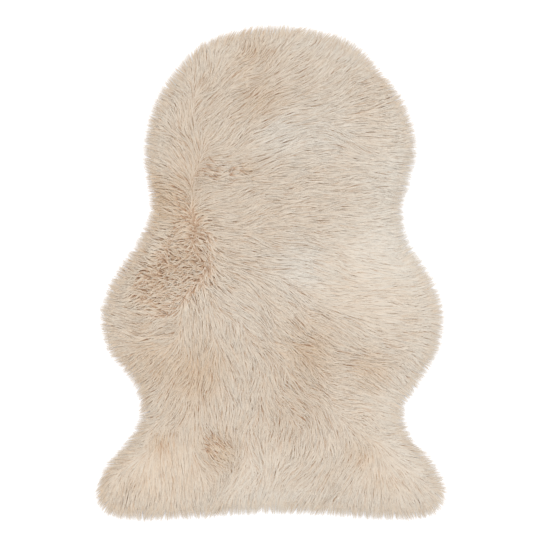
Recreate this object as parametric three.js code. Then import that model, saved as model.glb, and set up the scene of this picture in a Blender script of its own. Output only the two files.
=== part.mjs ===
// Shag rug cut to the outline of a sheepskin, lying flat on the floor.
// Millimetres, +Z up. The round head end points to +Y, and the flared tail end to -Y.
// The rug is one piece, so it is one solid: a lumpy slab of pile with a flat underside and locks of
// hair at its rim.
import * as THREE from "three";

// Driving dimensions
const PILE_HEIGHT = 27; // height of the combed-over pile above the floor, between the lumps
const RIM_HEIGHT = 14; // height of the pile where it ends at the rim
const RIM_ROLL = 70; // width of the band in which the pile rolls down to the rim
const RIM_STEPS = 200; // patches of the rim, with a lock on each one below and on every other one above
const HEM_STEPS = 46; // patches of the rim along the tail's hem, and as many round the head
const BOW_FADE = 4; // how soon the rows of the pile straighten out away from the hem and the head
const LOCK_REACH = 15; // how far a usual lock reaches out of the rim
const LOCK_UNEVEN = 4; // how much longer or shorter a lock may be
const LOCK_LEAN = THREE.MathUtils.degToRad(28); // the most that a lock leans off the rim's normal
const LOCK_WAIST = 0.75; // size of a lock's waist, as a share of its root
const LOCK_WAIST_AT = 0.55; // where the waist is, as a share of the lock's reach
const LOCK_DROOP = 0.5; // how far an upper lock sinks to its waist
const TUFT_PITCH = 42; // from one lump of the pile to the next
const TUFT_RISE = 12; // height of the tallest lumps, and the lowest are half of it
const TUFT_RADIUS = 34; // half the width of a lump at its foot
const TUFT_STRETCH = 1.6; // a lump is this much longer along the hair than across it
const PARTING_DEPTH = 7;
const PARTING_WIDTH = 15;

// The two tiers of locks in the rim's wall
const LOWER = 0;
const UPPER = 1;

// The outline that the tips of the pile reach, in sections across the rug from the tail to the brow:
// how far along the rug a section lies, and where its two edges are, from the middle of the rug.
const SECTIONS = [
  { name: "tail hem", along: -418, left: -280, right: 276 },
  { name: "tail corners", along: -386, left: -300, right: 300 },
  { name: "tail flare", along: -347, left: -289, right: 286 },
  { name: "flare neck", along: -288, left: -241, right: 242 },
  { name: "waist", along: -242, left: -223, right: 229 },
  { name: "waist top", along: -195, left: -237, right: 256 },
  { name: "flank", along: -133, left: -280, right: 288 },
  { name: "hip", along: -76, left: -291, right: 296 },
  { name: "hip top", along: -19, left: -275, right: 281 },
  { name: "shoulder", along: 54, left: -228, right: 237 },
  { name: "neck", along: 105, left: -207, right: 225 },
  { name: "jaw", along: 157, left: -214, right: 237 },
  { name: "cheek", along: 216, left: -217, right: 249 },
  { name: "temple", along: 282, left: -202, right: 233 },
  { name: "forehead", along: 344, left: -164, right: 192 },
  { name: "brow", along: 396, left: -100, right: 130 },
];
const CROWN = { along: 424, across: 10 }; // top of the round head
const TAIL_MIDDLE = { along: -414, across: 40 }; // the hem is drawn in a little between its corners

// The hair is combed away from this spot on the left of the neck.
const WHORL = new THREE.Vector2(-125, 60);
// Furrows where the hair parts, from one end to the other.
const PARTINGS = [
  { name: "head", from: new THREE.Vector2(-120, 320), to: new THREE.Vector2(-140, 170) },
  { name: "neck", from: new THREE.Vector2(-140, 170), to: new THREE.Vector2(-115, 0) },
  { name: "cheek", from: new THREE.Vector2(-140, 170), to: new THREE.Vector2(-15, 170) },
  { name: "belly", from: new THREE.Vector2(50, -110), to: new THREE.Vector2(75, -260) },
];

// A number from 0 to 1 that looks random and is the same for the same seeds: the last digits of a sine.
function chance(a, b, salt) {
  const wave = Math.sin(a * 12.9898 + b * 78.233 + salt * 37.719) * 43758.5453;
  return wave - Math.floor(wave);
}

// The closed outline, anticlockwise from the tail's right corner: up the right side, over the crown, down
// the left side and back along the hem.
function outlineCurve() {
  const right = SECTIONS.map((s) => new THREE.Vector3(s.right, s.along, 0));
  const left = SECTIONS.map((s) => new THREE.Vector3(s.left, s.along, 0)).reverse();
  const crown = new THREE.Vector3(CROWN.across, CROWN.along, 0);
  const tail = new THREE.Vector3(TAIL_MIDDLE.across, TAIL_MIDDLE.along, 0);
  return new THREE.CatmullRomCurve3([...right, crown, ...left, tail], true, "centripetal");
}

// Evenly spaced points of the rim, which lies a lock's reach inside the outline, each with the way out.
function rimStations() {
  const curve = outlineCurve();
  return Array.from({ length: RIM_STEPS }, (_, i) => {
    const share = i / RIM_STEPS;
    const tip = curve.getPointAt(share);
    const tangent = curve.getTangentAt(share);
    const out = new THREE.Vector2(tangent.y, -tangent.x).normalize();
    return { at: new THREE.Vector2(tip.x, tip.y).addScaledVector(out, -LOCK_REACH), out };
  });
}

// The way that the hair is combed at a point, as a unit vector.
function combed(at) {
  return at.clone().sub(WHORL).normalize();
}

// Distance from a point to the nearest place on the line between two others.
function distanceToLine(at, from, to) {
  const run = to.clone().sub(from);
  const share = THREE.MathUtils.clamp(at.clone().sub(from).dot(run) / run.lengthSq(), 0, 1);
  return at.distanceTo(from.clone().addScaledVector(run, share));
}

// Height of the tallest lump over a point. The lumps stand on an uneven square grid, and each one is a
// dome that is stretched along the hair.
function tuftRise(at) {
  const column = Math.floor(at.x / TUFT_PITCH);
  const row = Math.floor(at.y / TUFT_PITCH);
  let highest = 0;
  for (let i = column - 2; i <= column + 2; i++) {
    for (let j = row - 2; j <= row + 2; j++) {
      const middle = new THREE.Vector2(i + chance(i, j, 1), j + chance(i, j, 2)).multiplyScalar(TUFT_PITCH);
      const way = combed(middle);
      const off = at.clone().sub(middle);
      const along = off.dot(way) / TUFT_STRETCH;
      const across = off.cross(way);
      const dome = 1 - (along * along + across * across) / TUFT_RADIUS ** 2;
      const rise = TUFT_RISE * (0.5 + 0.5 * chance(i, j, 3));
      highest = Math.max(highest, rise * Math.max(0, dome));
    }
  }
  return highest;
}

// Depth of the furrows at a point.
function partingDepth(at) {
  const nearest = Math.min(...PARTINGS.map(({ from, to }) => distanceToLine(at, from, to)));
  return PARTING_DEPTH * Math.exp(-((nearest / PARTING_WIDTH) ** 2));
}

// Height of the pile at a point, which falls towards the rim.
function pileHeight(at, stations) {
  const next = (i) => stations[(i + 1) % stations.length].at;
  const inside = Math.min(...stations.map((station, i) => distanceToLine(at, station.at, next(i))));
  const roll = 1 - (1 - Math.min(inside / RIM_ROLL, 1)) ** 2;
  const level = RIM_HEIGHT + (PILE_HEIGHT - RIM_HEIGHT) * roll;
  return level + roll * (tuftRise(at) - partingDepth(at));
}

// Collects the points and triangles of one closed surface.
class Surface {
  points = [];
  triangles = [];

  point(x, y, z) {
    return this.points.push(x, y, z) / 3 - 1;
  }

  // A face of three or four corners, anticlockwise as seen from outside.
  face(a, b, c, d) {
    this.triangles.push(a, b, c);
    if (d !== undefined) this.triangles.push(a, c, d);
  }

  geometry() {
    const made = new THREE.BufferGeometry();
    made.setAttribute("position", new THREE.Float32BufferAttribute(this.points, 3));
    made.setIndex(this.triangles);
    made.computeVertexNormals();
    return made;
  }
}

// A tapering lock of four sides that grows out of a four-cornered patch of the rim, lower corners first.
// In the lower tier its underside lies level on the floor.
function growLock(surface, patch, root, seed, tier) {
  const comb = combed(root.at);
  const lean = Math.atan2(root.out.cross(comb), root.out.dot(comb));
  const swing = THREE.MathUtils.clamp(lean, -LOCK_LEAN, LOCK_LEAN);
  const reach = LOCK_REACH + LOCK_UNEVEN * (2 * chance(seed, tier, 4) - 1);
  const run = root.out.clone().rotateAround(new THREE.Vector2(), swing).multiplyScalar(reach);

  const corners = patch.map((k) => new THREE.Vector3().fromArray(surface.points, 3 * k));
  const thickness = corners[2].z - corners[1].z;
  const underside = corners[0].z - tier * LOCK_DROOP;
  const waist = corners.map((corner, k) => {
    const at = root.at.clone().lerp(corner, LOCK_WAIST).addScaledVector(run, LOCK_WAIST_AT);
    return surface.point(at.x, at.y, underside + (k < 2 ? 0 : LOCK_WAIST * thickness));
  });
  const end = root.at.clone().add(run);
  const tip = surface.point(end.x, end.y, underside);
  patch.forEach((corner, k) => {
    const next = (k + 1) % patch.length;
    surface.face(corner, patch[next], waist[next], waist[k]);
    surface.face(waist[k], waist[next], tip);
  });
}

// The wall of the rim in two tiers, with a lock on every patch of the lower tier and on every other patch
// of the upper one. Returns the rings of points along its bottom and top.
function growRim(surface, stations) {
  const levels = [0, RIM_HEIGHT / 2, RIM_HEIGHT];
  const rings = levels.map((z) => stations.map(({ at }) => surface.point(at.x, at.y, z)));
  stations.forEach((station, i) => {
    const next = (i + 1) % stations.length;
    const root = {
      at: station.at.clone().lerp(stations[next].at, 0.5),
      out: station.out.clone().add(stations[next].out).normalize(),
    };
    const patch = (tier) => [rings[tier][i], rings[tier][next], rings[tier + 1][next], rings[tier + 1][i]];
    growLock(surface, patch(LOWER), root, i, LOWER);
    if (i % 2) growLock(surface, patch(UPPER), root, i, UPPER);
    else surface.face(...patch(UPPER));
  });
  return { bottom: rings[0], top: rings[2] };
}

// The pile between the four stretches of the rim: right side, head, left side and hem. Its rows of points
// run straight across from side to side, and bow out towards the head and the hem to end on them.
function coverPile(surface, stations, rimTop) {
  const across = HEM_STEPS;
  const along = RIM_STEPS / 2 - HEM_STEPS;
  const onRim = {
    right: (row) => row,
    head: (column) => along + across - column,
    left: (row) => 2 * along + across - row,
    hem: (column) => (2 * along + across + column) % RIM_STEPS,
  };
  const straight = (row, u) => stations[onRim.left(row)].at.clone().lerp(stations[onRim.right(row)].at, u);

  const inner = (column, row) => {
    const [u, v] = [column / across, row / along];
    const hemBow = stations[onRim.hem(column)].at.clone().sub(straight(0, u));
    const headBow = stations[onRim.head(column)].at.clone().sub(straight(along, u));
    const place = straight(row, u);
    place.addScaledVector(hemBow, (1 - v) ** BOW_FADE);
    place.addScaledVector(headBow, v ** BOW_FADE);
    return surface.point(place.x, place.y, pileHeight(place, stations));
  };
  const grid = Array.from({ length: along + 1 }, (_, row) =>
    Array.from({ length: across + 1 }, (_, column) => {
      if (row === 0) return rimTop[onRim.hem(column)];
      if (row === along) return rimTop[onRim.head(column)];
      if (column === 0) return rimTop[onRim.left(row)];
      if (column === across) return rimTop[onRim.right(row)];
      return inner(column, row);
    }),
  );
  for (let row = 0; row < along; row++) {
    for (let column = 0; column < across; column++) {
      const [near, far] = [grid[row], grid[row + 1]];
      surface.face(near[column], near[column + 1], far[column + 1], far[column]);
    }
  }
}

// The whole rug: its rim, the pile inside the rim, and the flat underside.
function rugGeometry() {
  const surface = new Surface();
  const stations = rimStations();
  const rim = growRim(surface, stations);
  coverPile(surface, stations, rim.top);
  const outline = stations.map(({ at }) => at);
  for (const [a, b, c] of THREE.ShapeUtils.triangulateShape(outline, [])) {
    surface.face(rim.bottom[a], rim.bottom[c], rim.bottom[b]);
  }
  return surface.geometry();
}

const pile = new THREE.MeshStandardMaterial({ color: 0xd6c7b4, roughness: 0.95, metalness: 0 });

const rug = new THREE.Mesh(rugGeometry(), pile);
rug.name = "shag_rug";

const part = new THREE.Group();
part.add(rug);

export default part;
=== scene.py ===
"""Cream shag rug cut to the outline of a sheepskin, lying on a pale floor and seen from straight above.

The rug is a knitted backing, a felted undercoat on the backing, and locks of hair that grow out of the
undercoat, most of them combed and some curled. Lengths are millimetres in the frame of the solid, until a
mesh, a light or the camera is made.
"""

import logging
import math
from dataclasses import dataclass, field, fields
from enum import Enum

import bpy
import numpy as np
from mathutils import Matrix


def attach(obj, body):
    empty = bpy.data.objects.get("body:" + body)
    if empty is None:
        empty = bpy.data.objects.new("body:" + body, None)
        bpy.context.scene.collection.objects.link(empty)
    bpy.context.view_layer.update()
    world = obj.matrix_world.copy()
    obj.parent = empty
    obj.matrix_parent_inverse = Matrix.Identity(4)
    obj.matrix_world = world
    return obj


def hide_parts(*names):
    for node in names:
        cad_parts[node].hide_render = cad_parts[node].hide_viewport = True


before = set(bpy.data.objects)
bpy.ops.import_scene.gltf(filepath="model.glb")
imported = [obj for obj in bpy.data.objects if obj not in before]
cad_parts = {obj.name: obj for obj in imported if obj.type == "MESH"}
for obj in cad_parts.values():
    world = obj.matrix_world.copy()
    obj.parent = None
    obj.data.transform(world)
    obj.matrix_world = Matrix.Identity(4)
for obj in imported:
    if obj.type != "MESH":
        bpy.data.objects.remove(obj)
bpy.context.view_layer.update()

SOLID = "shag_rug"
BODY = "root"
FIBRE_MAP = "OFBake"
METRES = 0.001
NO_TRIANGLES = np.empty((0, 3), int)

# The sine that gives a cell its chance, with the numbers that the solid's lumps have
CHANCE_ACROSS = 12.9898
CHANCE_ALONG = 78.233
CHANCE_SALT = 37.719
CHANCE_SCALE = 43758.5453

Array = np.ndarray
Pair = tuple[float, float]
Colour = tuple[float, float, float]
Piece = bpy.types.Object
Socket = bpy.types.NodeSocket
log = logging.getLogger("shag_rug")


class Zone(Enum):
    """The stretches of combed pile from tail to head, and the curls. The locks of each are one piece."""

    TAIL = "tail"
    WAIST = "waist"
    HIPS = "hips"
    NECK = "neck"
    HEAD = "head"
    CURLS = "curls"


@dataclass(frozen=True)
class Section:
    """A line across the rug: how far along it lies, and where the tips of the pile end on each side."""

    name: str
    along: float
    left: float
    right: float


@dataclass(frozen=True)
class Stroke:
    """A stroke of the comb: its place, and the way the hair then points, in degrees from +X to +Y."""

    name: str
    x: float
    y: float
    heading: float


@dataclass(frozen=True)
class Parting:
    """A furrow where the hair parts, from one end to the other."""

    name: str
    x: float
    y: float
    end_x: float
    end_y: float


@dataclass(frozen=True)
class Patch:
    """A soft round patch of the pile and how strongly it differs there."""

    name: str
    x: float
    y: float
    radius: float
    amount: float


SECTIONS = tuple(Section(*row) for row in (
    ("tail hem", -420, -284, 284),
    ("tail corners", -386, -301, 303),
    ("tail flare", -347, -289, 289),
    ("flare neck", -288, -241, 242),
    ("waist", -242, -223, 229),
    ("waist top", -195, -237, 256),
    ("flank", -133, -282, 291),
    ("hip", -76, -293, 298),
    ("hip top", -19, -275, 281),
    ("shoulder", 54, -228, 237),
    ("neck", 105, -207, 227),
    ("jaw", 157, -213, 240),
    ("cheek", 216, -217, 251),
    ("temple", 282, -203, 235),
    ("forehead", 344, -168, 193),
    ("brow", 399, -108, 135),
))
CROWN = (10.0, 424.0)
TAIL_MIDDLE = (15.0, -418.0)

PARTINGS = tuple(Parting(*row) for row in (
    ("head", -120, 320, -140, 170),
    ("neck", -140, 170, -115, 0),
    ("cheek", -140, 170, -15, 170),
    ("belly", 50, -110, 75, -260),
))

STROKES = tuple(Stroke(*row) for row in (
    ("crown left", -75, 390, 35),
    ("crown", 5, 390, 40),
    ("crown right", 90, 390, 35),
    ("brow left", -105, 360, 62),
    ("brow", -50, 350, 33),
    ("brow right", 60, 335, 18),
    ("temple", 145, 335, 28),
    ("temple rim", 200, 310, 12),
    ("head rim left", -165, 320, 130),
    ("right of the head parting", -105, 285, 38),
    ("left of the head parting", -150, 265, 115),
    ("cheek rim left", -200, 255, 140),
    ("head", -30, 280, 22),
    ("head right", 85, 280, 10),
    ("cheek left", -60, 235, 36),
    ("cheek", 20, 235, 25),
    ("before the cow-lick", 105, 248, 2),
    ("cow-lick", 135, 222, -30),
    ("after the cow-lick", 190, 225, 4),
    ("cheek rim right", 230, 240, 6),
    ("left of the jaw parting", -152, 205, 130),
    ("jaw rim left", -205, 185, 150),
    ("jaw left", -75, 195, 10),
    ("jaw", 0, 188, 9),
    ("jaw right", 95, 190, 12),
    ("jaw rim right", 225, 175, 2),
    ("crease", -88, 166, -14),
    ("throat left", -168, 142, 140),
    ("throat rim left", -195, 108, 168),
    ("right of the neck parting", -100, 122, 32),
    ("throat", -40, 125, 24),
    ("throat right", 90, 130, 7),
    ("neck rim right", 210, 95, 0),
    ("neck left", -170, 70, 176),
    ("neck", -85, 84, 2),
    ("neck middle", 20, 70, 4),
    ("shoulder left", -205, 20, 180),
    ("shoulder inner left", -150, 5, 184),
    ("shoulder", -100, 32, -28),
    ("shoulder middle", -15, 12, -22),
    ("shoulder right", 110, 56, -12),
    ("shoulder rim right", 235, 10, -5),
    ("hip rim left", -272, -60, 156),
    ("hip left", -200, -35, 172),
    ("hip", -104, -55, -48),
    ("fan", -42, -62, -36),
    ("hip middle", 40, -55, -26),
    ("hip right", 135, -40, -5),
    ("hip rim right", 272, -62, 2),
    ("flank rim left", -272, -108, 170),
    ("flank left", -190, -108, 194),
    ("flank", -132, -112, 268),
    ("belly left", -62, -112, -74),
    ("belly", 5, -112, -46),
    ("belly right", 90, -130, -26),
    ("flank right", 210, -120, -15),
    ("thigh rim left", -232, -168, 215),
    ("thigh left", -165, -170, 240),
    ("thigh", -100, -182, 266),
    ("belly low", -20, -182, 272),
    ("right of the belly parting", 52, -185, -50),
    ("thigh right", 125, -182, -10),
    ("thigh rim right", 235, -170, -20),
    ("waist left", -190, -235, 230),
    ("waist", -110, -238, 266),
    ("waist middle", -10, -242, 271),
    ("right of the waist parting", 70, -240, -62),
    ("waist right", 150, -222, -12),
    ("waist rim right", 212, -245, -14),
    ("flare left", -245, -335, 255),
    ("tail left", -165, -320, 264),
    ("tail swirl", -98, -318, 312),
    ("tail", -25, -318, 264),
    ("tail parting", 90, -285, 276),
    ("flare right top", 188, -278, 318),
    ("tail right of the middle", 72, -345, 228),
    ("tail right", 160, -335, 262),
    ("flare right", 250, -345, 314),
    ("hem left", -250, -390, 266),
    ("hem left of the middle", -60, -390, 242),
    ("hem right of the middle", 85, -390, 236),
    ("hem right", 180, -392, 270),
    ("hem corner right", 278, -385, 310),
))

# How much more tan the hair is, as a share of the way from pale to tan
TAN_PATCHES = tuple(Patch(*row) for row in (
    ("left of the neck", -160, 25, 62, 0.22),
    ("left hip", -215, -20, 45, 0.14),
    ("throat rim", -195, 120, 38, 0.66),
    ("belly", 70, -142, 48, 0.44),
    ("belly parting", 66, -212, 34, 0.12),
    ("head", -10, 290, 40, 0.36),
    ("head parting", -138, 165, 40, 0.12),
    ("crease", -38, 174, 16, 0.24),
    ("neck parting", -130, 92, 28, 0.18),
    ("temple", 185, 318, 42, 0.14),
    ("crown", -28, 382, 30, 0.34),
    ("thigh rim", -218, -165, 45, 0.26),
    ("thigh", -125, -180, 50, 0.44),
    ("thigh right", 173, -171, 34, 0.38),
    ("waist middle", 35, -255, 46, 0.14),
    ("tail swirl", -86, -312, 34, 0.46),
    ("flare left", -190, -300, 20, 0.44),
    ("tail right", 155, -322, 26, 0.34),
    ("neck right", 192, 45, 62, -0.30),
    ("neck middle", 52, 5, 44, -0.42),
    ("jaw right", 200, 165, 48, -0.24),
    ("brow right", 110, 345, 55, -0.05),
    ("hip right", 225, -50, 82, -0.02),
    ("cheek right", 95, 236, 55, -0.24),
    ("cheek", 15, 240, 40, -0.38),
    ("fan", -50, -72, 42, -0.14),
    ("hip middle", 130, -20, 52, 0.02),
    ("waist", -70, -225, 40, -0.10),
    ("hem left", -190, -376, 66, 0.05),
    ("hem middle", -15, -372, 62, -0.16),
    ("hem right", 210, -390, 52, 0.08),
))

# How far the pile is lifted: at 1 it is short and curled, and below 0 it lies calmer than elsewhere
LIFTED_PATCHES = tuple(Patch(*row) for row in (
    ("left of the neck", -150, 12, 55, 1.1),
    ("left hip", -205, -30, 42, 0.75),
    ("throat rim", -190, 130, 34, 0.35),
    ("neck parting", -128, 92, 26, 0.45),
    ("belly", 66, -140, 40, 0.14),
    ("belly parting", 66, -212, 26, 0.12),
    ("crease", -82, 170, 13, 0.70),
    ("crease end", -42, 172, 13, 0.70),
    ("tail swirl", -88, -316, 26, 0.72),
    ("flare left", -190, -302, 16, 0.12),
    ("tail right", 158, -322, 20, 0.12),
    ("head", -10, 290, 34, 0.12),
    ("crown", -28, 382, 26, 0.12),
    ("temple", 185, 318, 34, 0.12),
    ("thigh", -125, -180, 44, 0.12),
    ("thigh right", 173, -171, 30, 0.12),
    ("waist middle", 35, -255, 38, 0.12),
    ("calm hip right", 215, -50, 80, -0.46),
    ("calm hip middle", 110, -20, 60, -0.30),
    ("calm hem left", -190, -365, 85, -0.60),
    ("calm hem middle", -20, -375, 70, -0.60),
    ("calm hem right", 205, -370, 85, -0.50),
    ("calm neck right", 190, 50, 60, -0.40),
    ("calm waist right", 195, -235, 55, -0.30),
    ("calm cheek right", 185, 205, 60, -0.30),
))

# How much more the hair waves, turns and shows its roots
RUFFLED_PATCHES = tuple(Patch(*row) for row in (
    ("left hip", -180, -5, 70, 3.0),
    ("belly", 50, -150, 80, 2.2),
    ("thigh", -125, -180, 50, 2.2),
    ("thigh right", 173, -171, 36, 1.2),
    ("waist middle", 35, -255, 46, 1.2),
    ("head", -10, 290, 42, 1.2),
    ("crown", -28, 382, 32, 1.2),
    ("flare left", -190, -300, 26, 3.0),
    ("tail", -20, -320, 100, 1.6),
    ("tail swirl", -92, -312, 34, 1.4),
    ("tail right", 155, -322, 32, 2.4),
))


def smooth_step(low: float, high: float, value: Array) -> Array:
    """A soft ramp of value: 0 up to low, 1 from high on, and 3t squared less 2t cubed in between."""
    share = np.clip((value - low) / (high - low), 0.0, 1.0)
    return share * share * (3.0 - 2.0 * share)


def unit(vectors: Array) -> Array:
    """The same vectors, made one long."""
    return vectors / np.maximum(np.linalg.norm(vectors, axis=-1, keepdims=True), 1e-9)


def patch_sum(patches: tuple[Patch, ...], points: Array) -> Array:
    """Adds up the patches at some points. Each patch is a bell curve of the distance to its middle.

    Args:
        patches: the patches.
        points: places on the rug, one row each.

    Returns:
        One number for each place.
    """
    middle = np.array([(p.x, p.y) for p in patches])
    radius = np.array([p.radius for p in patches])
    amount = np.array([p.amount for p in patches])
    away = np.linalg.norm(points[:, None, :] - middle[None], axis=2)
    return (amount * np.exp(-((away / radius) ** 2))).sum(axis=1)


def chance(cells: Array, salt: int) -> Array:
    """A number that looks random for each cell: the last digits of a sine, as in the solid.

    Args:
        cells: the cells, by two whole numbers, one row each.
        salt: which of a cell's numbers is asked for.

    Returns:
        One number from 0 to 1 for each cell.
    """
    angle = cells[:, 0] * CHANCE_ACROSS + cells[:, 1] * CHANCE_ALONG + salt * CHANCE_SALT
    wave = np.sin(angle) * CHANCE_SCALE
    return wave - np.floor(wave)


def neighbours(reach: int) -> Array:
    """The steps from a cell to itself and to the cells around it, as far as a reach, one row each."""
    span = range(-reach, reach + 1)
    return np.array([(i, j) for i in span for j in span])


@dataclass(frozen=True)
class SoftNoise:
    """Random hills: numbers from -1 to 1 on a square lattice, with soft ramps from one to the next."""

    pitch: float
    seed: int
    half: int = 64

    def at(self, points: Array) -> Array:
        """The height of the hills at some places.

        Args:
            points: places on the rug, one row each.

        Returns:
            One number from -1 to 1 for each place.
        """
        side = 2 * self.half
        lattice = np.random.default_rng(self.seed).uniform(-1.0, 1.0, (side, side))
        cell = points / self.pitch + self.half
        low = np.floor(cell).astype(int)
        ramp = smooth_step(0.0, 1.0, cell - low)
        x, y = (low % side).T
        right, up = (low + 1).T % side
        near = lattice[x, y] * (1 - ramp[:, 0]) + lattice[right, y] * ramp[:, 0]
        far = lattice[x, up] * (1 - ramp[:, 0]) + lattice[right, up] * ramp[:, 0]
        return near * (1 - ramp[:, 1]) + far * ramp[:, 1]


@dataclass(frozen=True)
class Tufts:
    """Long narrow cells that the hair gathers in, each with its own small turn, height and tone.

    The cells belong to the points of a jittered lattice. A place belongs to the point that is nearest when
    lengths along the hair count for less than lengths across it.
    """

    pitch: float
    stretch: float
    reach: int
    seed: int
    half: int = 128

    def at(self, points: Array, heading: Array) -> tuple[Array, Array, Array]:
        """The cell of each place, and where in the cell it lies.

        Args:
            points: places on the rug, one row each.
            heading: the way that the hair points there, as unit vectors.

        Returns:
            Three random numbers from -1 to 1 for the cell of each place, a share that is 0 at the edge of a
            cell and grows with the lead of the nearest point over the next, and how far to the left of the
            cell's middle the place lies.
        """
        side = 2 * self.half
        rng = np.random.default_rng(self.seed)
        jitter = rng.uniform(0.0, 1.0, (side, side, 2))
        traits = rng.uniform(-1.0, 1.0, (side, side, 3))
        across = np.stack([-heading[:, 1], heading[:, 0]], axis=1)
        cell = points / self.pitch + self.half
        low = np.floor(cell).astype(int)
        best = np.full(len(points), np.inf)
        second = best.copy()
        left = np.zeros(len(points))
        chosen = np.zeros_like(low)
        for shift in neighbours(self.reach):
            spot = (low + shift) % side
            away = low + shift + jitter[spot[:, 0], spot[:, 1]] - cell
            right = (away * across).sum(axis=1)
            far = np.hypot((away * heading).sum(axis=1) / self.stretch, right)
            nearer = far < best
            second = np.where(nearer, best, np.minimum(second, far))
            best = np.where(nearer, far, best)
            left = np.where(nearer, -right, left)
            chosen[nearer] = spot[nearer]
        return traits[chosen[:, 0], chosen[:, 1]], second - best, left * self.pitch


@dataclass
class Outline:
    """The closed line that the tips of the pile reach."""

    steps: int = 480
    hem_steps: int = 110
    bow_fade: float = 4.0
    rim: Array = field(init=False)
    out: Array = field(init=False)

    def __post_init__(self) -> None:
        """Walks round the outline in even steps, anticlockwise from the tail's right corner."""
        right = [(s.right, s.along) for s in SECTIONS]
        left = [(s.left, s.along) for s in reversed(SECTIONS)]
        fine = self.curve(np.array([*right, CROWN, *left, TAIL_MIDDLE], float))
        length = np.linalg.norm(np.diff(fine, axis=0, append=fine[:1]), axis=1)
        walked = np.concatenate([[0.0], np.cumsum(length)])
        stops = np.arange(self.steps) * walked[-1] / self.steps
        closed = np.vstack([fine, fine[:1]])
        self.rim = np.stack([np.interp(stops, walked, closed[:, k]) for k in (0, 1)], axis=1)
        along = unit(np.roll(self.rim, -1, axis=0) - np.roll(self.rim, 1, axis=0))
        self.out = np.stack([along[:, 1], -along[:, 0]], axis=1)

    @staticmethod
    def curve(knots: Array, steps: int = 24) -> Array:
        """A smooth closed curve through some knots.

        Between two knots it is a cubic with each knot's slope taken from its neighbours, and the time from
        one knot to the next is the root of their distance, which keeps the curve from overshooting.

        Args:
            knots: the knots, one row each.
            steps: points for each stretch between two knots.

        Returns:
            The points of the curve, one row each.
        """
        before, after, later = (np.roll(knots, k, axis=0) for k in (1, -1, -2))
        gaps = [np.sqrt(np.linalg.norm(b - a, axis=1))[:, None]
                for a, b in ((before, knots), (knots, after), (after, later))]
        first, middle, last = gaps
        rise = (knots - before) / first - (after - before) / (first + middle) + (after - knots) / middle
        fall = (after - knots) / middle - (later - knots) / (middle + last) + (later - after) / last
        rise, fall = rise * middle, fall * middle
        t = (np.arange(steps) / steps)[None, :, None]
        start, end, leave, reach = (rows[:, None, :] for rows in (knots, after, rise, fall))
        square = 3 * (end - start) - 2 * leave - reach
        cube = 2 * (start - end) + leave + reach
        return (start + leave * t + square * t**2 + cube * t**3).reshape(-1, 2)

    def inside(self, points: Array) -> tuple[Array, Array]:
        """How far inside the outline some places lie, and the way out from each.

        Args:
            points: places on the rug, one row each.

        Returns:
            The distance along the way out at the nearest step of the outline, below 0 outside it, and that
            way as unit vectors.
        """
        nearest = np.argmin((self.rim**2).sum(axis=1) - 2.0 * points @ self.rim.T, axis=1)
        out = self.out[nearest]
        offset = points - self.rim[nearest]
        return -(offset * out).sum(axis=1), out

    def grid(self, inset: float, stride: int) -> Array:
        """Fills the outline with rows of points, a little inside it.

        The rows run straight across from side to side, and bow out towards the head and the hem to end on
        them, by the fourth power of how far along they lie.

        Args:
            inset: how far inside the outline the grid ends.
            stride: steps of the outline from one point of the grid to the next.

        Returns:
            The points, as rows from the hem to the head, columns from left to right, and two coordinates.
        """
        ring = (self.rim - inset * self.out)[::stride]
        across = self.hem_steps // stride
        along = len(ring) // 2 - across
        right = ring[: along + 1]
        head = ring[along : along + across + 1][::-1]
        left = ring[along + across : 2 * along + across + 1][::-1]
        hem = ring[np.arange(2 * along + across, len(ring) + 1) % len(ring)]
        u = np.linspace(0.0, 1.0, across + 1)[None, :, None]
        v = np.linspace(0.0, 1.0, along + 1)[:, None, None]
        rows = left[:, None, :] * (1 - u) + right[:, None, :] * u
        hem_bow = hem[None] - rows[:1]
        head_bow = head[None] - rows[-1:]
        return rows + hem_bow * (1 - v) ** self.bow_fade + head_bow * v**self.bow_fade


@dataclass
class Comb:
    """The way that the hair lies: the strokes of the comb, each one felt most near its place."""

    reach: float = 16.0
    rim_band: Pair = (10.0, 52.0)
    rim_pull: float = 0.55

    def headings(self, points: Array, inside: Array, out: Array) -> Array:
        """The way that the hair points at some places.

        It is the mean of the strokes, and it turns towards the way out near the rim. A stroke counts by one
        over the square of a sum, that of its squared distance and the squared reach.

        Args:
            points: places on the rug, one row each.
            inside: how far inside the outline they lie.
            out: the way out from each.

        Returns:
            Unit vectors, one row each.
        """
        place = np.array([(s.x, s.y) for s in STROKES])
        angle = np.radians([s.heading for s in STROKES])
        away = ((points[:, None, :] - place[None]) ** 2).sum(axis=2)
        weight = 1.0 / (away + self.reach**2) ** 2
        combed = unit(weight @ np.stack([np.cos(angle), np.sin(angle)], axis=1))
        pull = self.rim_pull * (1.0 - smooth_step(*self.rim_band, inside))[:, None]
        return unit(combed * (1 - pull) + out * pull)


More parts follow.
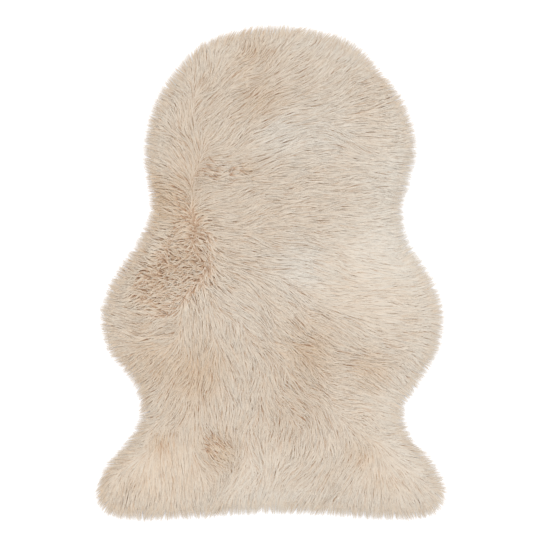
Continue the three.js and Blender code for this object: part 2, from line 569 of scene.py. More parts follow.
@dataclass
class Relief:
    """A lumpy height that rolls down to the rim, with the lumps and partings of the solid, but flatter."""

    height: float
    rim_height: float
    edge: float
    roll: float
    lump_pitch: float = 42.0
    lump_rise: float = 7.0
    lump_radius: float = 34.0
    lump_stretch: float = 1.6
    lump_reach: int = 2
    lump_least: float = 0.5
    lump_merge: int = 4
    whorl: Pair = (-125.0, 60.0)
    parting_depth: float = 4.0
    parting_width: float = 15.0

    def lumps(self, points: Array) -> Array:
        """The height of the lumps: domes on an uneven square grid, each stretched along the hair.

        A dome is one less the squared distance over the squared radius. Where domes meet, the height is the
        fourth root of the sum of their fourth powers, which is close to the tallest and has no sharp crease.

        Args:
            points: places on the rug, one row each.

        Returns:
            One height for each place.
        """
        cell = np.floor(points / self.lump_pitch)
        total = np.zeros(len(points))
        for shift in neighbours(self.lump_reach):
            spot = cell + shift
            middle = self.lump_pitch * (spot + np.stack([chance(spot, 1), chance(spot, 2)], axis=1))
            way = unit(middle - np.array(self.whorl))
            off = points - middle
            along = (off * way).sum(axis=1) / self.lump_stretch
            across = off[:, 0] * way[:, 1] - off[:, 1] * way[:, 0]
            dome = np.maximum(1.0 - (along**2 + across**2) / self.lump_radius**2, 0.0)
            share = self.lump_least + (1.0 - self.lump_least) * chance(spot, 3)
            total += (self.lump_rise * share * dome) ** self.lump_merge
        return total ** (1.0 / self.lump_merge)

    def partings(self, points: Array) -> Array:
        """The depth of the furrows: a bell curve of the distance to the nearest parting.

        Args:
            points: places on the rug, one row each.

        Returns:
            One depth for each place.
        """
        start = np.array([(p.x, p.y) for p in PARTINGS])
        run = np.array([(p.end_x, p.end_y) for p in PARTINGS]) - start
        off = points[:, None, :] - start[None]
        share = np.clip((off * run).sum(axis=2) / (run**2).sum(axis=1), 0.0, 1.0)
        nearest = np.linalg.norm(off - share[..., None] * run, axis=2).min(axis=1)
        return self.parting_depth * np.exp(-((nearest / self.parting_width) ** 2))

    def at(self, points: Array, inside: Array) -> Array:
        """The height above the floor at some places: it bows up from the edge, with lumps and partings.

        The bow is a parabola, one less the square of the share of the roll that is still to come.

        Args:
            points: places on the rug, one row each.
            inside: how far inside the outline they lie.

        Returns:
            One height for each place.
        """
        share = 1.0 - np.clip((inside - self.edge) / self.roll, 0.0, 1.0)
        rise = self.height - self.rim_height + self.lumps(points) - self.partings(points)
        return self.rim_height + rise * (1.0 - share**2)


def new_object(name: str, points: Array, quads: Array, triangles: Array = NO_TRIANGLES,
               smooth: bool = True) -> Piece:
    """Makes a mesh object from arrays.

    Args:
        name: the object's name.
        points: corners in millimetres, one row each.
        quads: faces of four corners, one row each.
        triangles: faces of three corners, one row each.
        smooth: whether the faces are shaded as one smooth surface.

    Returns:
        The new object, linked to the scene.
    """
    mesh = bpy.data.meshes.new(name)
    corners = np.concatenate([quads.ravel(), triangles.ravel()])
    fours = 4 * np.arange(len(quads))
    threes = 4 * len(quads) + 3 * np.arange(len(triangles))
    mesh.vertices.add(len(points))
    mesh.vertices.foreach_set("co", (points * METRES).astype(np.float32).ravel())
    mesh.loops.add(len(corners))
    mesh.loops.foreach_set("vertex_index", corners.astype(np.int32))
    mesh.polygons.add(len(quads) + len(triangles))
    mesh.polygons.foreach_set("loop_start", np.concatenate([fours, threes]).astype(np.int32))
    mesh.polygons.foreach_set("use_smooth", np.full(len(mesh.polygons), smooth))
    mesh.update(calc_edges=True)
    made = bpy.data.objects.new(name, mesh)
    bpy.context.scene.collection.objects.link(made)
    return made


def new_slab(name: str, grid: Array, top: Array | float, bottom: float) -> Piece:
    """Makes a closed slab: a grid of places at the height of its top, and again at that of its bottom.

    The faces are those of the top, those of the bottom the other way round, and a wall along the edge.

    Args:
        name: the object's name.
        grid: places on the rug, as rows, columns and two coordinates.
        top: the height of the top, for all places or for each.
        bottom: the height of the bottom.

    Returns:
        The slab, with its faces pointing outwards.
    """
    flat = grid.reshape(-1, 2)
    count = len(flat)
    layers = [np.column_stack([flat, np.broadcast_to(height, count)]) for height in (top, bottom)]
    at = np.arange(count).reshape(grid.shape[:2])
    upper = np.stack([at[:-1, :-1], at[:-1, 1:], at[1:, 1:], at[1:, :-1]], axis=-1).reshape(-1, 4)
    lower = upper[:, ::-1] + count
    edge = np.concatenate([at[0, :-1], at[:-1, -1], at[-1, :0:-1], at[:0:-1, 0]])
    after = np.roll(edge, -1)
    wall = np.stack([edge + count, after + count, after, edge], axis=1)
    return new_object(name, np.vstack(layers), np.concatenate([upper, lower, wall]))


class NodeBoard:
    """A material's nodes, with short ways to add and join them."""

    def __init__(self, name: str) -> None:
        """Makes a material that holds only its shader and its output.

        Args:
            name: the material's name.
        """
        self.material = bpy.data.materials.new(name)
        self.material.use_nodes = True
        self.tree = self.material.node_tree
        self.shader = self.tree.nodes["Principled BSDF"]

    def add(self, kind: str, inputs: dict | None = None, **settings: object) -> bpy.types.Node:
        """Adds a node.

        Args:
            kind: the node's type, without the word ShaderNode.
            inputs: values or sockets for its inputs, by name or number.
            settings: its own settings, by name.

        Returns:
            The new node.
        """
        node = self.tree.nodes.new("ShaderNode" + kind)
        for name, value in settings.items():
            setattr(node, name, value)
        for name, value in (inputs or {}).items():
            self.feed(node, name, value)
        return node

    def feed(self, node: bpy.types.Node, name: str | int, value: object) -> None:
        """Sets an input of a node to a value, or links a socket to it.

        Args:
            node: the node.
            name: the input's name or number.
            value: the value or the socket.
        """
        if isinstance(value, Socket):
            self.tree.links.new(value, node.inputs[name])
        else:
            node.inputs[name].default_value = value

    def dress(self, inputs: dict) -> bpy.types.Material:
        """Feeds the shader, which finishes the material.

        Args:
            inputs: values or sockets for the shader's inputs, by name.

        Returns:
            The material.
        """
        for name, value in inputs.items():
            self.feed(self.shader, name, value)
        return self.material

    def ramp(self, share: Socket, stops: tuple[float, ...], colours: tuple[Colour, ...]) -> Socket:
        """A row of colours that blend into each other.

        Args:
            share: where along the row to read it.
            stops: how far along the row each colour stands.
            colours: the colours, in linear light.

        Returns:
            The colour's socket.
        """
        node = self.add("ValToRGB", {"Fac": share})
        row = node.color_ramp.elements
        while len(row) < len(stops):
            row.new(0.5)
        for element, stop, colour in zip(row, stops, colours):
            element.position = stop
            element.color = (*colour, 1.0)
        return node.outputs["Color"]


def linear(red: int, green: int, blue: int) -> Colour:
    """A colour given in screen steps from 0 to 255, as linear light, by the standard curve of screens."""
    screen = np.array([red, green, blue]) / 255.0
    return tuple(np.where(screen <= 0.04045, screen / 12.92, ((screen + 0.055) / 1.055) ** 2.4).tolist())


@dataclass(frozen=True)
class FibreFinish:
    """Soft polyester hair in a range from pale to tan, cream at the tip and darker and warmer towards the
    root, which is painted shade for the depth of the pile.
    """

    # From root to tip: the darker, warmer root colours are painted shade for the deep pile
    stops: tuple[float, ...] = (0.17, 0.46, 1.0)
    pale: tuple[Colour, ...] = (linear(172, 136, 103), linear(207, 198, 184), linear(215, 210, 199))
    tan: tuple[Colour, ...] = (linear(156, 112, 78), linear(199, 174, 145), linear(209, 195, 174))
    roughness: float = 0.72
    gloss: float = 0.25

    def material(self) -> bpy.types.Material:
        """Builds the finish. The hair's map gives its shade across, and root to tip upwards, where the darker
        root colours are painted shade.

        Returns:
            The material.
        """
        board = NodeBoard("combed_hair")
        place = board.add("UVMap", uv_map=FIBRE_MAP)
        split = board.add("SeparateXYZ", {"Vector": place.outputs["UV"]})
        pale = board.ramp(split.outputs["Y"], self.stops, self.pale)
        tan = board.ramp(split.outputs["Y"], self.stops, self.tan)
        mixed = board.add("Mix", {"Factor": split.outputs["X"], "A": pale, "B": tan}, data_type="RGBA")
        return board.dress({"Base Color": mixed.outputs["Result"], "Roughness": self.roughness,
                            "Specular IOR Level": self.gloss})


@dataclass(frozen=True)
class FeltFinish:
    """The felted roots: warm tan, darker than the hair as painted shade for the deep pile, mottled and fuzzy.
    """

    stops: tuple[float, ...] = (0.3, 0.7)
    # Warm tans: painted shade where the felt shows deep between the locks
    tans: tuple[Colour, ...] = (linear(168, 132, 100), linear(200, 168, 136))
    mottle: float = 160.0
    detail: float = 4.0
    bump: float = 0.6
    bump_metres: float = 0.002
    roughness: float = 0.95

    def material(self) -> bpy.types.Material:
        """Builds the finish: two tans mixed by fine noise, which also roughens the surface.

        Returns:
            The material.
        """
        board = NodeBoard("felted_roots")
        place = board.add("TexCoord").outputs["Object"]
        noise = board.add("TexNoise", {"Vector": place, "Scale": self.mottle, "Detail": self.detail})
        fuzz = noise.outputs["Fac"]
        bump = board.add("Bump", {"Height": fuzz, "Strength": self.bump, "Distance": self.bump_metres})
        return board.dress({"Base Color": board.ramp(fuzz, self.stops, self.tans),
                            "Normal": bump.outputs["Normal"], "Roughness": self.roughness})


@dataclass(frozen=True)
class KnitFinish:
    """The plain knitted back of the cloth: pale beige, with fine ribs."""

    stops: tuple[float, ...] = (0.0, 1.0)
    beiges: tuple[Colour, ...] = (linear(196, 184, 168), linear(222, 213, 200))
    ribs: float = 420.0
    rib_waver: float = 0.6
    courses: float = 294.0
    course_waver: float = 0.8
    bump: float = 0.5
    bump_metres: float = 0.0006
    roughness: float = 0.9

    def material(self) -> bpy.types.Material:
        """Builds the finish: ribs along the rug and courses across it, raised and tinted.

        Returns:
            The material.
        """
        board = NodeBoard("knitted_back")
        place = board.add("TexCoord").outputs["Object"]
        ribs = {"Vector": place, "Scale": self.ribs, "Distortion": self.rib_waver}
        courses = {"Vector": place, "Scale": self.courses, "Distortion": self.course_waver}
        along = board.add("TexWave", ribs, bands_direction="X")
        across = board.add("TexWave", courses, bands_direction="Y")
        both = {0: along.outputs["Fac"], 1: across.outputs["Fac"]}
        knit = board.add("Math", both, operation="MULTIPLY").outputs["Value"]
        bump = board.add("Bump", {"Height": knit, "Strength": self.bump, "Distance": self.bump_metres})
        return board.dress({"Base Color": board.ramp(knit, self.stops, self.beiges),
                            "Normal": bump.outputs["Normal"], "Roughness": self.roughness})


@dataclass
class Backing:
    """The knitted ground of the rug: a thin closed sheet that lies on the floor."""

    inset: float = 15.0
    thickness: float = 2.4
    lift: float = 0.3
    stride: int = 3
    finish: KnitFinish = KnitFinish()

    def build(self, outline: Outline) -> Piece:
        """Makes the sheet: the outline's grid, drawn in by the inset, once on top and once below.

        Args:
            outline: the rug's outline.

        Returns:
            The sheet.
        """
        grid = outline.grid(self.inset, self.stride)
        sheet = new_slab("backing", grid, self.lift + self.thickness, self.lift)
        sheet.data.materials.append(self.finish.material())
        return sheet

    def declare(self, outline: Outline, sheet: Piece, on_it: list[Piece]) -> None:
        """Does nothing: the sheet's box and the area within its edge are not worked out.

        Args:
            outline: the rug's outline; not used.
            sheet: the sheet; not used.
            on_it: the pieces that lie on it; not used.
        """


@dataclass
class Undercoat:
    """The felted hair roots: a lumpy slab on the backing, from which the locks grow."""

    gap: float = 0.1
    finish: FeltFinish = FeltFinish()

    def build(self, outline: Outline, relief: Relief, backing: Backing) -> Piece:
        """Makes the slab: the outline's grid at the height of the relief, and again flat below.

        Args:
            outline: the rug's outline.
            relief: the height of the undercoat.
            backing: the sheet that it lies on.

        Returns:
            The slab.
        """
        grid = outline.grid(backing.inset, backing.stride)
        flat = grid.reshape(-1, 2)
        top = relief.at(flat, outline.inside(flat)[0])
        slab = new_slab("undercoat", grid, top, backing.lift + backing.thickness + self.gap)
        slab.data.materials.append(self.finish.material())
        return slab


@dataclass(frozen=True)
class Lift:
    """What a lift of one changes in the locks, as shares of what they do where the pile isn't lifted."""

    span: Pair = (-0.6, 1.2)
    shorter: float = 0.45
    gather: float = 0.3
    stir: float = 1.6
    turn: float = 2.4
    tuft_turn: float = 3.0
    curl: float = 2.0
    ruffle: float = 3.0
    ruffle_span: Pair = (-0.2, 1.0)


@dataclass
class Locks:
    """Where the locks of hair lie, which way each one points, and how it bends.

    A lock is set out by its anchor, a point a little past its middle, and follows the lie of the hair from
    there, back to its root and on to its tip. It rises steeply from its root and then lies along the skin,
    the height that the pile shows. Locks gather in tufts, and in narrow wisps within them. Some wisps lie
    deep, and there the locks get painted shade: their darker root colours reach further towards the tip.
    Where the pile is lifted the locks are shorter, stirred and curled, and where it is ruffled they wave and
    turn more.
    """

    outline: Outline
    comb: Comb

    # Where they grow
    pitch: float = 3.2
    wander: float = 0.45
    curled: bool = False
    curled_from: float = 0.28
    curled_blend: float = 0.15
    curled_inset: float = 28.0
    root_inset: float = 14.0
    overhang: Pair = (6.5, 9.5)
    rim_band: Pair = (5.0, 55.0)
    rim_calm: float = 0.7
    tufts: Tufts = Tufts(pitch=13.0, stretch=4.0, reach=4, seed=7)
    wisps: Tufts = Tufts(pitch=3.0, stretch=13.0, reach=11, seed=9)
    lift: Lift = Lift()
    seed: int = 11

    # Their size
    length: float = 50.0
    rim_length: float = 42.0
    length_band: Pair = (24.0, 80.0)
    uneven: float = 0.25
    gather: float = 0.75
    rim_loose: float = 0.4
    rim_thin: float = 0.15
    thin_band: Pair = (0.0, 15.0)

    # Their course, with turns and waves in degrees
    steps: tuple[float, ...] = (0.0, 0.5, 1.0)
    anchor: float = 0.65
    turn: float = 1.6
    tuft_turn: float = 5.0
    pinch: float = 1.5
    wisp_pinch: float = 1.0
    wave: float = 22.0
    waves: SoftNoise = SoftNoise(pitch=26.0, seed=3)
    ruffle: float = 7.0
    ruffles: SoftNoise = SoftNoise(pitch=12.0, seed=4)
    ruffle_wave: float = 0.4
    sway: float = 0.5
    hook: float = 0.05
    hook_most: float = 1.6

    # Their depth under the skin
    rise: float = 0.4
    bury: float = 7.0
    depth: float = 2.0
    middle_depth: float = 0.5
    wisp_depth: float = 0.6
    stray_depth: float = 0.4
    ruffle_depth: float = 0.15
    furrow: float = 0.4
    furrow_width: float = 0.3
    wisp_furrow: float = 0.4
    wisp_width: float = 0.5
    tuft_rise: float = 0.2
    rim_drop: float = 7.0
    drop_band: Pair = (-4.0, 18.0)

    # Their shade from pale to tan, with painted shade where they lie deep or in furrows and painted light at
    # the rim, and how far deep locks show their darker root colours as painted shade
    tone: float = 0.4
    slant: float = 0.12
    depth_painted_shade: float = 0.14
    tuft_tone: float = 0.02
    furrow_painted_shade: float = 0.04
    wisp_tone: float = 0.04
    stray_tone: float = 0.05
    rim_painted_light: float = 0.2
    edge_painted_bounce: float = 0.4
    edge_bounce_band: Pair = (4.0, 24.0)
    # Painted shade: how far the colours of deep locks slide towards the darker root
    deep_root_shade: float = 0.42
    deep_root_shade_span: Pair = (0.7, 1.6)
    deep_root_shade_band: Pair = (0.8, 1.4)

    # What planting works out, with a row for each lock
    place: Array = field(init=False)
    spine: Array = field(init=False)
    level: Array = field(init=False)
    length_each: Array = field(init=False)
    gather_each: Array = field(init=False)
    girth_each: Array = field(init=False)
    stir: Array = field(init=False)
    curl: Array = field(init=False)
    hook_each: Array = field(init=False)
    shade: Array = field(init=False)
    root_shade_each: Array = field(init=False)

    def plant(self, skin: Relief) -> None:
        """Sets out the locks and works out how each one lies.

        Args:
            skin: the height that the pile shows.
        """
        rng = np.random.default_rng(self.seed)
        self.place = self.lattice(rng)
        count = len(self.place)
        inside, _ = self.outline.inside(self.place)
        lifted = np.clip(patch_sum(LIFTED_PATCHES, self.place), *self.lift.span)
        curly = np.maximum(lifted, 0.0)
        ruffled = patch_sum(RUFFLED_PATCHES, self.place)
        rim = 1.0 - smooth_step(*self.rim_band, inside)
        free = 1.0 - self.rim_calm * rim

        # The size of each lock
        length = self.rim_length + (self.length - self.rim_length) * smooth_step(*self.length_band, inside)
        length *= 1.0 - self.lift.shorter * lifted
        self.length_each = length * (1.0 + self.uneven * free * rng.uniform(-1.0, 1.0, count))
        self.gather_each = self.gather + self.lift.gather * lifted - self.rim_loose * rim
        self.girth_each = 1.0 - self.rim_thin * (1.0 - smooth_step(*self.thin_band, inside))
        self.stir = 1.0 + self.lift.stir * lifted
        self.draw_in(rng)

        # Its course
        heading = self.direction(self.place)
        traits, lead, left = self.tufts.at(self.place, heading)
        wisp, wisp_lead, wisp_left = self.wisps.at(self.place, heading)
        turn = self.tuft_turn * (1.0 + self.lift.tuft_turn * curly) * traits[:, 0]
        turn = turn - self.pinch * left - self.wisp_pinch * wisp_left
        turn += self.turn * (1.0 + self.lift.turn * lifted + ruffled) * rng.normal(size=count)
        self.trace(np.radians(turn))

        # Its depth under the skin
        depth = self.middle_depth + self.wisp_depth * wisp[:, 1]
        depth = depth + self.stray_depth * rng.uniform(-1.0, 1.0, count)
        depth += self.wisp_furrow * (1.0 - smooth_step(0.0, self.wisp_width, wisp_lead)) * free
        furrow = (1.0 - smooth_step(0.0, self.furrow_width, lead)) * (1.0 + lifted) * free
        lively = 1.0 + lifted + self.ruffle_depth * ruffled
        drop = self.depth * lively * depth + self.furrow * furrow - self.tuft_rise * traits[:, 1]
        edge_drop = self.rim_drop * (1.0 - smooth_step(*self.drop_band, inside))
        drop += edge_drop * rng.uniform(0.0, 1.0, count) ** 2
        dive = (1.0 - np.clip(np.array(self.steps) / self.rise, 0.0, 1.0)) ** 2
        spots = np.moveaxis(self.spine, 1, 0)
        insets = [self.outline.inside(spot)[0] for spot in spots]
        skins = [skin.at(spot, inset) for spot, inset in zip(spots, insets)]
        self.level = np.stack(skins, axis=1) - drop[:, None] - self.bury * (1.0 + lifted)[:, None] * dive
        self.curl = (1.0 + self.lift.curl * curly) * rng.normal(0.0, self.sway, count)
        self.hook_each = self.hook * np.clip(rng.normal(size=count), -self.hook_most, self.hook_most)

        # Its colours
        tan = patch_sum(TAN_PATCHES, self.place)
        tan = tan - self.slant * self.place[:, 0] / self.outline.rim[:, 0].max()
        # Painted light: the rim band, which its slope and its gaps shade, is made paler
        # Random tone by tuft, and painted shade: locks in the furrows between tufts are made more tan
        tan += self.tuft_tone * traits[:, 2] + self.furrow_painted_shade * furrow - self.rim_painted_light * rim
        # Painted shade: deeper locks are made more tan; the wisp's own tone differs at random
        tan += self.depth_painted_shade * (depth - self.middle_depth) + self.wisp_tone * wisp[:, 2]
        # Painted warm light: the very edge, which lacks the light bounced between warm hairs, is made more
        # tan
        tan += self.edge_painted_bounce * (1.0 - smooth_step(*self.edge_bounce_band, inside))
        # Painted shade: deep locks show their darker root colours further towards the tip
        self.root_shade_each = self.deep_root_shade * np.clip(lively, *self.deep_root_shade_span) * smooth_step(*self.deep_root_shade_band, depth)
        self.shade = np.clip(self.tone + tan + rng.normal(0.0, self.stray_tone, count), 0.0, 1.0)
        self.keep(insets[0] > self.root_inset)

    def keep(self, chosen: Array) -> None:
        """Drops the locks that are not chosen."""
        for name in [each.name for each in fields(self) if not each.init]:
            setattr(self, name, getattr(self, name)[chosen])

    def draw_in(self, rng: np.random.Generator) -> None:
        """Moves locks whose tips would pass the outline back, against the lie of the hair.

        Args:
            rng: the random numbers, for how far each tip may pass the outline.
        """
        heading = self.direction(self.place)
        tip = self.place + ((1.0 - self.anchor) * self.length_each)[:, None] * heading
        least, most = self.overhang
        allowed = least + (most - least) * rng.uniform(0.0, 1.0, len(tip)) ** 2
        passed = -self.outline.inside(tip)[0] - allowed
        self.place = self.place - np.maximum(passed, 0.0)[:, None] * heading

    def trace(self, turn: Array) -> None:
        """Follows the lie of the hair from each anchor, by midpoint steps, and turns the whole lock a little.

        Args:
            turn: each lock's own turn about its anchor, in radians.
        """
        spots = {}
        for way in (-1.0, 1.0):
            spot, share = self.place, self.anchor
            for step in sorted((s for s in self.steps if way * (s - share) >= 0.0), key=lambda s: way * s):
                run = ((step - share) * self.length_each)[:, None]
                half = spot + 0.5 * run * self.direction(spot)
                spot, share = spot + run * self.direction(half), step
                spots[step] = spot
        off = np.stack([spots[s] for s in self.steps], axis=1) - self.place[:, None]
        cosine, sine = np.cos(turn)[:, None], np.sin(turn)[:, None]
        turned = [cosine * off[..., 0] - sine * off[..., 1], sine * off[..., 0] + cosine * off[..., 1]]
        self.spine = self.place[:, None] + np.stack(turned, axis=-1)

    def direction(self, points: Array) -> Array:
        """The way that the hair points at some places, with the waves and ruffles of the pile.

        Args:
            points: places on the rug, one row each.

        Returns:
            Unit vectors, one row each.
        """
        way = self.comb.headings(points, *self.outline.inside(points))
        lifted = np.clip(patch_sum(LIFTED_PATCHES, points), *self.lift.ruffle_span)
        ruffled = patch_sum(RUFFLED_PATCHES, points)
        turn = self.wave * (1.0 + self.ruffle_wave * ruffled) * self.waves.at(points)
        turn += self.ruffle * (1.0 + self.lift.ruffle * lifted + ruffled) * self.ruffles.at(points)
        angle = np.arctan2(way[:, 1], way[:, 0]) + np.radians(turn)
        return np.stack([np.cos(angle), np.sin(angle)], axis=1)

    def lattice(self, rng: np.random.Generator) -> Array:
        """The anchors of the locks: a wandering lattice inside the rim, where these locks grow.

        It is a lattice of even triangles, with every other row shifted by half a pitch.

        Args:
            rng: the random numbers.

        Returns:
            Places on the rug, one row each.
        """
        low, high = self.outline.rim.min(axis=0), self.outline.rim.max(axis=0)
        x = np.arange(low[0], high[0], self.pitch)
        y = np.arange(low[1], high[1], self.pitch * math.sqrt(3) / 2)
        lattice = np.stack(np.meshgrid(x, y), axis=-1)
        lattice[1::2, :, 0] += self.pitch / 2
        lattice = lattice.reshape(-1, 2)
        lattice += self.wander * self.pitch * rng.uniform(-1.0, 1.0, lattice.shape)
        inside, _ = self.outline.inside(lattice)
        blend = self.curled_blend * rng.uniform(-1.0, 1.0, len(lattice))
        lifted = patch_sum(LIFTED_PATCHES, lattice) + blend > self.curled_from
        curled = lifted & (inside > self.curled_inset)
        return lattice[(inside > 0.0) & (curled == self.curled)]


@dataclass
class Pile:
    """The hair: every lock is a few tapering strands that close up towards its tip."""

    strands: int = 2
    sides: int = 3
    first_corner: float = math.pi / 6
    radius: float = 0.43
    taper: tuple[Pair, ...] = ((0.0, 0.7), (0.3, 1.0), (0.75, 0.85))
    floor: float = 0.5
    spread: float = 1.0
    close_power: float = 1.4
    uneven: float = 0.08
    fan: float = 1.2
    slope: float = 0.03
    slope_most: float = 3.5
    stray_freedom: int = 4
    height: float = 0.3
    sway: float = 0.3
    root_bend: float = 0.5
    stray_tone: float = 0.06
    map_width: float = 0.006
    seed: int = 23
    finish: FibreFinish = FibreFinish()

    def build(self, locks: Locks, zones: list[Zone]) -> list[Piece]:
        """Makes the strands, as a piece for each zone.

        Args:
            locks: where the locks grow and how they lie.
            zones: the zones, from the tail to the head, that share out the strands evenly.

        Returns:
            The pieces, from the tail to the head.
        """
        points, shade = self.strand_points(locks)
        # Painted shade, by strand: how far its colours slide towards the darker root
        root_shade_each = np.repeat(locks.root_shade_each, self.strands)
        order = np.argsort(points[:, 0, 1], kind="stable")
        material = self.finish.material()
        pieces = []
        for zone, share in zip(zones, np.array_split(order, len(zones))):
            piece = self.piece(f"pile_{zone.value}", points[share], shade[share], root_shade_each[share], locks.steps)
            piece.data.materials.append(material)
            pieces.append(piece)
        return pieces

    def strand_points(self, locks: Locks) -> tuple[Array, Array]:
        """Works out every strand's middle line, and from that its corners.

        A strand follows its lock, a little longer or shorter. Sideways it sways by half a sine wave, turns
        out of the lock by a small angle, and bends with the lock's hook, by the square of the way from the
        anchor, and towards the root less and to the other side. Its place in the lock closes up by a power
        of the way along.

        Args:
            locks: where the locks grow and how they lie.

        Returns:
            The corners as strands, corners and coordinates, and each strand's shade.
        """
        rng = np.random.default_rng(self.seed)
        many = (len(locks.place), self.strands)
        turn = rng.uniform(0.0, 2 * np.pi, many)
        off = self.spread * np.sqrt(rng.uniform(0.0, 1.0, many))
        offset = np.stack([off * np.cos(turn), off * np.sin(turn)], axis=-1)
        stretch = (1.0 + self.uneven * rng.uniform(-1.0, 1.0, many))[..., None]
        stir = locks.stir[:, None]
        stray = np.clip(rng.standard_t(self.stray_freedom, size=many), -self.slope_most, self.slope_most)
        slope = (self.slope * stir * stray)[..., None]
        height = (self.height * stir * rng.normal(size=many))[..., None]
        curl = (locks.curl[:, None] + self.sway * stir * rng.normal(size=many))[..., None]
        fan = (np.radians(self.fan) * stir * rng.standard_t(self.stray_freedom, size=many))[..., None]
        shade = np.clip(locks.shade[:, None] + self.stray_tone * rng.normal(size=many), 0.0, 1.0)

        t = np.array(locks.steps)
        past = t - locks.anchor
        length = locks.length_each[:, None, None] * stretch
        ahead = length * past
        way = unit(np.gradient(locks.spine, t, axis=1))[:, None]
        side = np.stack([-way[..., 1], way[..., 0]], axis=-1)
        bend = np.where(past > 0.0, 1.0, self.root_bend) * past
        sway = curl * np.sin(np.pi * past) + fan * ahead
        sway = sway + locks.hook_each[:, None, None] * np.abs(ahead) * bend
        close = 1.0 - locks.gather_each[:, None, None] * t**self.close_power
        lock = locks.place[:, None]
        middle = lock[:, None] + stretch[..., None] * (locks.spine - lock)[:, None]
        middle = middle + offset[:, :, None, :] * close[..., None] + sway[..., None] * side
        level = locks.level[:, None] + height + slope * ahead
        centre = np.concatenate([middle, level[..., None]], axis=-1)
        tilt = np.arctan(np.gradient(level, t, axis=2) / length)
        return self.corners(locks, centre, way, tilt), shade.reshape(-1)

    def corners(self, locks: Locks, centre: Array, way: Array, tilt: Array) -> Array:
        """Sets a ring of corners square to each strand at each step but the last, which is its pointed tip.

        Args:
            locks: where the locks grow and how they lie.
            centre: the strands' middle lines, as locks, strands, steps and coordinates.
            way: the level way that a lock runs at each step, as unit vectors.
            tilt: how steeply a strand climbs at each step, in radians.

        Returns:
            The corners as strands, corners and coordinates, none of them below the floor.
        """
        side = np.stack([-way[..., 1], way[..., 0], np.zeros_like(way[..., 0])], axis=-1)
        side = np.broadcast_to(side, centre.shape)
        up = np.concatenate([-np.sin(tilt)[..., None] * way, np.cos(tilt)[..., None]], axis=-1)
        corner = self.first_corner + 2 * np.pi * np.arange(self.sides) / self.sides
        rings = len(locks.steps) - 1
        taper = np.interp(locks.steps[:rings], *zip(*self.taper))
        girth = self.radius * locks.girth_each[:, None, None, None, None] * taper[:, None, None]
        ring = (np.cos(corner)[:, None] * side[:, :, :rings, None, :]
                + np.sin(corner)[:, None] * up[:, :, :rings, None, :])
        ring = centre[:, :, :rings, None, :] + girth * ring
        strand = ring.reshape(*centre.shape[:2], rings * self.sides, 3)
        strand = np.concatenate([strand, centre[:, :, rings:, :]], axis=2)
        strand[..., 2] = np.maximum(strand[..., 2], self.floor)
        return strand.reshape(-1, rings * self.sides + 1, 3)

    def piece(self, name: str, points: Array, shade: Array, root_shade_each: Array,
              steps: tuple[float, ...]) -> Piece:
        """Joins some strands into one mesh, with the map that its finish reads.

        Each strand has walls of four-cornered faces from ring to ring, a pointed end and a closed root. On
        the map it is an upright strip at its shade, from its root at 0 to its tip at 1, or lower where it
        lies deep, which gives it painted shade from the darker root colours.

        Args:
            name: the piece's name.
            points: the corners of the strands, as strands, corners and coordinates.
            shade: each strand's shade.
            root_shade_each: how far each strand's colours slide towards the darker root, as painted shade
                where it lies deep.
            steps: how far along a strand its rings and its tip are.

        Returns:
            The piece.
        """
        strands, size = points.shape[:2]
        rings = len(steps) - 1
        ring = np.arange(self.sides)
        after = (ring + 1) % self.sides
        wall = np.stack([ring, after, after + self.sides, ring + self.sides], axis=1)
        quads = (wall + self.sides * np.arange(rings - 1)[:, None, None]).reshape(-1, 4)
        last = self.sides * (rings - 1)
        point = np.stack([ring + last, after + last, np.full(self.sides, size - 1)], axis=1)
        ends = np.concatenate([point, ring[None, ::-1]])
        first = size * np.arange(strands)[:, None, None]
        made = new_object(name, points.reshape(-1, 3), (quads + first).reshape(-1, 4),
                          (ends + first).reshape(-1, 3), smooth=False)

        across = np.append(np.tile(np.linspace(-1.0, 1.0, self.sides), rings), 0.0)
        upward = np.append(np.repeat(steps[:-1], self.sides), 1.0)
        spot = np.stack([self.map_width * across, upward], axis=1)
        end_map = spot[ends]
        # The root's face would be a line on the map, so one of its corners is raised
        end_map[-1, 1, 1] += self.map_width
        strip = np.concatenate([spot[quads].reshape(-1, 2), end_map.reshape(-1, 2)])
        strips = np.broadcast_to(strip, (strands, *strip.shape)).copy()
        edge = 2 * self.map_width
        strips[..., 0] += edge + (1 - 2 * edge) * shade[:, None]
        # Painted shade: deep strands read their colours lower down, towards the darker root
        strips[..., 1] *= 1.0 - root_shade_each[:, None]
        split = quads.size
        spots = np.concatenate([strips[:, :split].reshape(-1, 2), strips[:, split:].reshape(-1, 2)])
        layer = made.data.uv_layers.new(name=FIBRE_MAP)
        layer.uv.foreach_set("vector", spots.astype(np.float32).ravel())
        return made


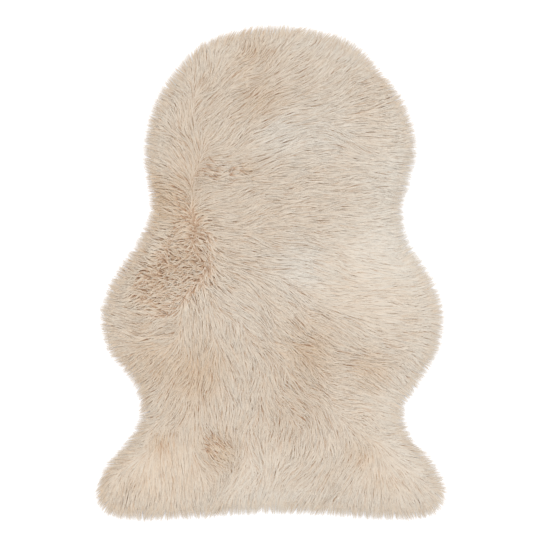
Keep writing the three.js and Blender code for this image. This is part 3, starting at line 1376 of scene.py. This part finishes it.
@dataclass
class Studio:
    """The pale floor, the soft light and the camera straight above."""

    frame_width: float = 932.9
    frame_middle: Pair = (-1.2, 1.7)
    framed_height: float = 22.0
    lens: float = 100.0
    sensor: float = 36.0
    floor_half: float = 6000.0
    floor_drop: float = 0.5
    floor_grey: float = 0.96
    floor_roughness: float = 0.9
    sky: float = 0.58
    sky_colour: Colour = (1.0, 0.92, 0.845)
    key_strength: float = 2.79
    key_colour: Colour = (0.952, 1.004, 1.082)
    key_tilt: Pair = (-8.0, 4.0)
    key_angle: float = 40.0
    key_height: float = 3000.0

    def build(self) -> None:
        """Makes the floor, the light and the camera."""
        self.floor()
        self.light()
        self.camera()

    def floor(self) -> None:
        """Makes a wide flat floor just under the rug."""
        reach = self.floor_half
        x = np.array([-reach, reach, reach, -reach])
        y = np.array([-reach, -reach, reach, reach])
        corners = np.column_stack([x, y, np.full(len(x), -self.floor_drop)])
        floor = new_object("floor", corners, np.arange(len(x))[None])
        board = NodeBoard("pale_floor")
        grey = (self.floor_grey, self.floor_grey, self.floor_grey, 1.0)
        floor.data.materials.append(board.dress({"Base Color": grey, "Roughness": self.floor_roughness}))

    def light(self) -> None:
        """Makes an even, slightly warm sky and one wide soft lamp, high up towards the head and the right."""
        scene = bpy.context.scene
        scene.view_settings.view_transform = "Standard"
        world = bpy.data.worlds.new("studio")
        world.use_nodes = True
        sky = world.node_tree.nodes["Background"]
        sky.inputs["Color"].default_value = (*self.sky_colour, 1.0)
        sky.inputs["Strength"].default_value = self.sky
        scene.world = world
        lamp = bpy.data.lights.new("key", "SUN")
        lamp.energy = self.key_strength
        lamp.color = self.key_colour
        lamp.angle = math.radians(self.key_angle)
        key = bpy.data.objects.new("key", lamp)
        key.location = (0.0, 0.0, METRES * self.key_height)
        key.rotation_euler = (*(math.radians(a) for a in self.key_tilt), 0.0)
        scene.collection.objects.link(key)

    def camera(self) -> None:
        """Makes the camera, looking straight down with the head end at the top of the picture."""
        camera = bpy.data.cameras.new("camera")
        camera.lens = self.lens
        camera.sensor_width = self.sensor
        above = self.frame_width * self.lens / self.sensor + self.framed_height
        holder = bpy.data.objects.new("camera", camera)
        holder.location = (*(METRES * x for x in self.frame_middle), METRES * above)
        bpy.context.scene.collection.objects.link(holder)
        bpy.context.scene.camera = holder


def main() -> None:
    """Builds the rug and the studio, and reports each piece."""
    logging.basicConfig(level=logging.INFO, format="%(name)s: %(message)s")
    outline, comb, backing = Outline(), Comb(), Backing()
    skin = Relief(height=26.0, rim_height=9.0, edge=0.0, roll=85.0)
    felt_top = Relief(height=19.0, rim_height=6.0, edge=backing.inset, roll=70.0)
    combed = Locks(outline, comb)
    curled = Locks(outline, comb, pitch=4.7, wander=0.7, curled=True, steps=(0.0, 0.25, 0.5, 0.75, 1.0),
                   hook=1.3, rise=0.3, bury=6.0, depth=0.72, deep_root_shade=0.08, seed=13)

    ground = backing.build(outline)
    felt = Undercoat().build(outline, felt_top, backing)
    *combed_zones, curled_zone = Zone
    combed.plant(skin)
    pile = Pile().build(combed, combed_zones)
    curled.plant(skin)
    pile += Pile(strands=4, spread=0.9, radius=0.45, seed=29).build(curled, [curled_zone])

    for piece in (ground, felt, *pile):
        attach(piece, BODY)
        piece.data.calc_loop_triangles()
        log.info("%s: %d triangles", piece.name, len(piece.data.loop_triangles))
    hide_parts(SOLID)
    backing.declare(outline, ground, [felt, *pile])

    Studio().build()


if __name__ == "__main__":
    main()
